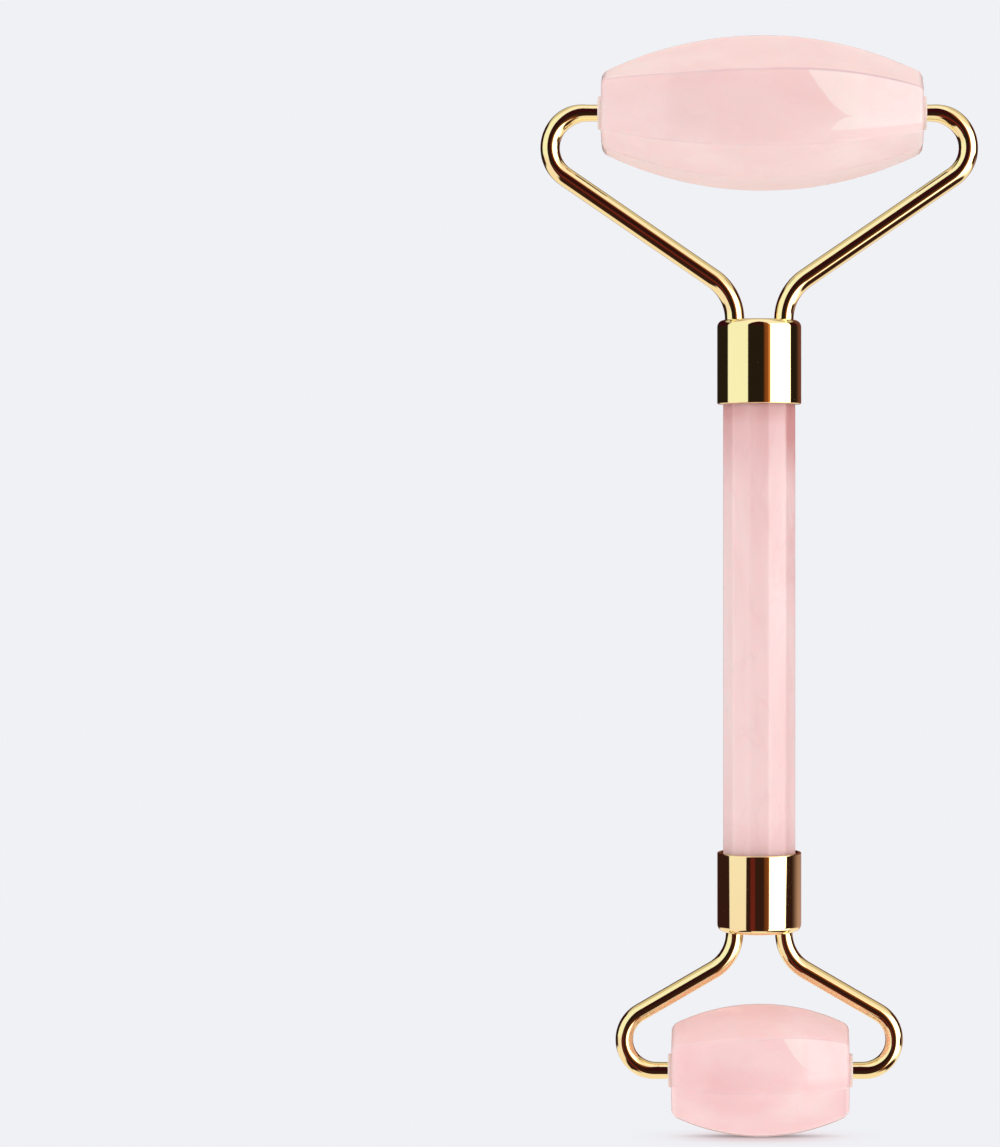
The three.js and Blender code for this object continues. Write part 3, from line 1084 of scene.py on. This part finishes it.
def studio_light(world, background, fill):
    """Even soft light all round, with tall panels at each side that only polished surfaces mirror.

    Angles are in degrees: side is how far round from the front, the right being above 0, and height
    is how far above the level. Each shape is a share from 0 to 1.
    """
    graph = Graph(world)
    rays = graph.node("ShaderNodeLightPath")
    seen = Signal(graph, rays.outputs["Is Camera Ray"])
    mirrored = Signal(graph, rays.outputs["Is Glossy Ray"])
    direction = graph.value("ShaderNodeTexCoord", output="Generated")
    x, y, z = separate(graph, direction)
    degrees = 180 / math.pi
    side = x.maths("ARCTAN2", y * -1) * degrees
    height = z.maths("ARCSINE") * degrees
    away = abs(side)
    low = 1 - height.step(-9, 9)
    high = height.step(4, 3)
    right = side.step(0, 1)

    # The dark parts: an arch at the front, a flank at each side of it and the back.
    arch = (height / 62).maths("MAXIMUM", 0.0).maths("MINIMUM", 1.0)
    opening = (1 - arch * arch).sqrt() * 31 + low * (6 - right * 10)
    front = (1 - (away - opening).step(-1, 2)) * height.step(-44, 4)
    flank_top = (1 - right) * ((away * -0.5) + 28) - 40
    flank = away.between(24, 6, 116, 12) * height.step(-58, 4)
    flank = flank * (1 - (height - flank_top).step(0, 6))
    back = (away + low * (7 + right * 13)).step(94, 3) * height.between(-20, 5, 31, 7)
    shade = (front + flank + back).clamped()

    # The lit parts: a panel at each side, and what is round and above them.
    level = height.between(-40, 16, 40, 24) * (1 - away.step(92, 10))
    left_panel = graph.mix(low, (0.96, 1.09, 1.06), (0.95, 0.92, 0.95))
    right_panel = graph.mix(height.step(24, 14), (2.6, 2.5, 2.5), (1.0, 0.96, 0.92))
    panels = graph.mix(right, left_panel, right_panel)
    around = graph.mix(height.step(-10, 20), (0.965, 0.91, 0.84), (1.05, 1.06, 1.12))
    above = away.step(70, 30) * height.between(20, 15, 66, 10)
    around = graph.mix(above, around, (0.66, 0.63, 0.50))
    panels = graph.mix(level, around, panels)

    # Warm tints in the dark parts, each laid over the ones before it.
    red = side.between(-25, 2, -13, 3) * low
    rust = side.between(10, 9, 40, 2) * height.step(-36, 6) * (1 - low * 0.4)
    amber = side.between(22, 7, 40, 2) * (1 - low * 0.6)
    edge = (side.step(118, 30) + (side * -1).step(165, 12)).clamped() * (1 - low)
    tan = (side.step(98, 42) + (side * -1).step(160, 12)).clamped() * low
    dark = graph.mix(low, (0.018, 0.013, 0.010), (0.036, 0.013, 0.012))
    for share, tint in (
        (high, (0.034, 0.005, 0.010)),
        (red, (0.15, 0.02, 0.018)),
        (rust, (0.24, 0.07, 0.02)),
        (amber, (0.72, 0.30, 0.10)),
        (edge, (0.16, 0.06, 0.04)),
        (tan, (0.5, 0.33, 0.3)),
    ):
        dark = graph.mix(share, dark, tint)
    mirror = graph.mix(shade, panels, dark)

    soft = (x * 0.05 + z * 0.045 + 1) * fill
    even = graph.value("ShaderNodeCombineColor", None, {0: soft, 1: soft, 2: soft})
    light = graph.mix(mirrored, even, mirror)
    light = graph.mix(seen, light, background)
    surface = graph.node("ShaderNodeBackground", None, {"Color": light, "Strength": 1.0})
    output = graph.node("ShaderNodeOutputWorld")
    graph.tree.links.new(surface.outputs[0], output.inputs["Surface"])


def floor_finish(background, reach, fill):
    """Matt floor with a painted shadow close under the roller's small stone, laid over the shade cast
    there, and fading into the pale surroundings.
    """
    finish = Finish("studio_floor", {"Roughness": 0.9, "Specular IOR Level": 0.0, "Emission Strength": 1.0})
    x, y, _ = separate(finish, finish.place)
    shadow_y = 3 * MM

    def away_from_shadow(width, depth):
        """How far out a spot is in an ellipse under the small stone, 1 being its rim."""
        across = x / width
        deep = (y - shadow_y) / depth
        return (across * across + deep * deep).sqrt()

    mottle = finish.noise(finish.place, 30, 2) * 0.4
    # Painted contact shadow: close under the small stone the floor's emission falls away and its colour is
    # darkened.
    glow = 0.1 + away_from_shadow(16 * MM, 5.2 * MM).step(0.1, 1.1) * 0.84
    painted_contact_shadow = (1 - away_from_shadow(14 * MM, 2.2 * MM).step(0.0, 1.0)) * 0.77
    plain = finish.mix(mottle, background, shade_of(background, 0.995))
    lit = finish.mix(glow, tuple(c / fill for c in background), (0, 0, 0))
    lit = finish.mix(painted_contact_shadow, lit, (0, 0, 0))
    finish.feed("Base Color", lit)
    finish.feed("Emission Color", finish.mix(glow, (0, 0, 0), plain))
    finish.feed("Alpha", 1 - (x * x + y * y).sqrt().step(reach * 0.25, reach * 0.7))
    return finish.material


class ROLLER_OT_studio(Operator):
    """Set the floor, the light and the camera"""

    bl_idname = "roller.studio"
    bl_label = "Studio"

    def execute(self, context):
        scene = context.scene
        size = scene.roller_studio
        reach = 0.5
        bm = bmesh.new()
        height = CAD_BOX[0].z - size.floor_gap
        bmesh.ops.create_grid(
            bm, x_segments=8, y_segments=8, size=reach, matrix=Matrix.Translation((0, 0, height))
        )
        mesh = bpy.data.meshes.new("floor")
        bm.to_mesh(mesh)
        bm.free()
        background = tuple(size.background)
        mesh.materials.append(floor_finish(background, reach, size.fill))
        floor = bpy.data.objects.new("floor", mesh)
        scene.collection.objects.link(floor)
        floor.visible_glossy = False
        floor.visible_diffuse = False

        scene.world = bpy.data.worlds.new("studio")
        studio_light(scene.world, background, size.fill)
        scene.world.cycles.sampling_method = "NONE"

        camera = bpy.data.cameras.new("camera")
        camera.lens = camera.sensor_width / 2 / math.tan(size.view_angle / 2)
        camera.shift_x = size.shift_x
        camera.shift_y = size.shift_y
        camera.clip_start = 0.01
        camera.clip_end = 10
        view = bpy.data.objects.new("camera", camera)
        view.location = (0, -size.distance, size.eye_height)
        view.rotation_euler = (math.pi / 2, 0, 0)
        scene.collection.objects.link(view)
        scene.camera = view
        scene.view_settings.view_transform = "Standard"
        return {"FINISHED"}


# ---- Add-on -------------------------------------------------------------------------------------

OPERATORS = [
    ROLLER_OT_studio,
    ROLLER_OT_grip,
    ROLLER_OT_ferrules,
    ROLLER_OT_anchors,
    ROLLER_OT_forks,
    ROLLER_OT_stones,
    ROLLER_OT_bushes,
]


class ROLLER_PT_pieces(Panel):
    """Lists the pieces of the roller and their settings"""

    bl_idname = "ROLLER_PT_pieces"
    bl_label = "Face roller"
    bl_space_type = "VIEW_3D"
    bl_region_type = "UI"
    bl_category = "Face roller"

    def draw(self, context):
        for operator in OPERATORS:
            self.layout.operator(operator.bl_idname)
        for name, group in GROUPS.items():
            box = self.layout.box()
            for setting in group.__annotations__:
                box.prop(getattr(context.scene, name), setting)


CLASSES = [*GROUPS.values(), *OPERATORS, ROLLER_PT_pieces]


def register():
    for cls in CLASSES:
        bpy.utils.register_class(cls)
    for name, group in GROUPS.items():
        setattr(bpy.types.Scene, name, PointerProperty(type=group))


def unregister():
    for name in GROUPS:
        delattr(bpy.types.Scene, name)
    for cls in reversed(CLASSES):
        bpy.utils.unregister_class(cls)


def main():
    register()
    bpy.ops.roller.studio()
    bpy.ops.roller.grip()
    bpy.ops.roller.ferrules()
    bpy.ops.roller.anchors()
    bpy.ops.roller.forks()
    bpy.ops.roller.stones()
    bpy.ops.roller.bushes()
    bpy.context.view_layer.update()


if __name__ == "__main__":
    main()
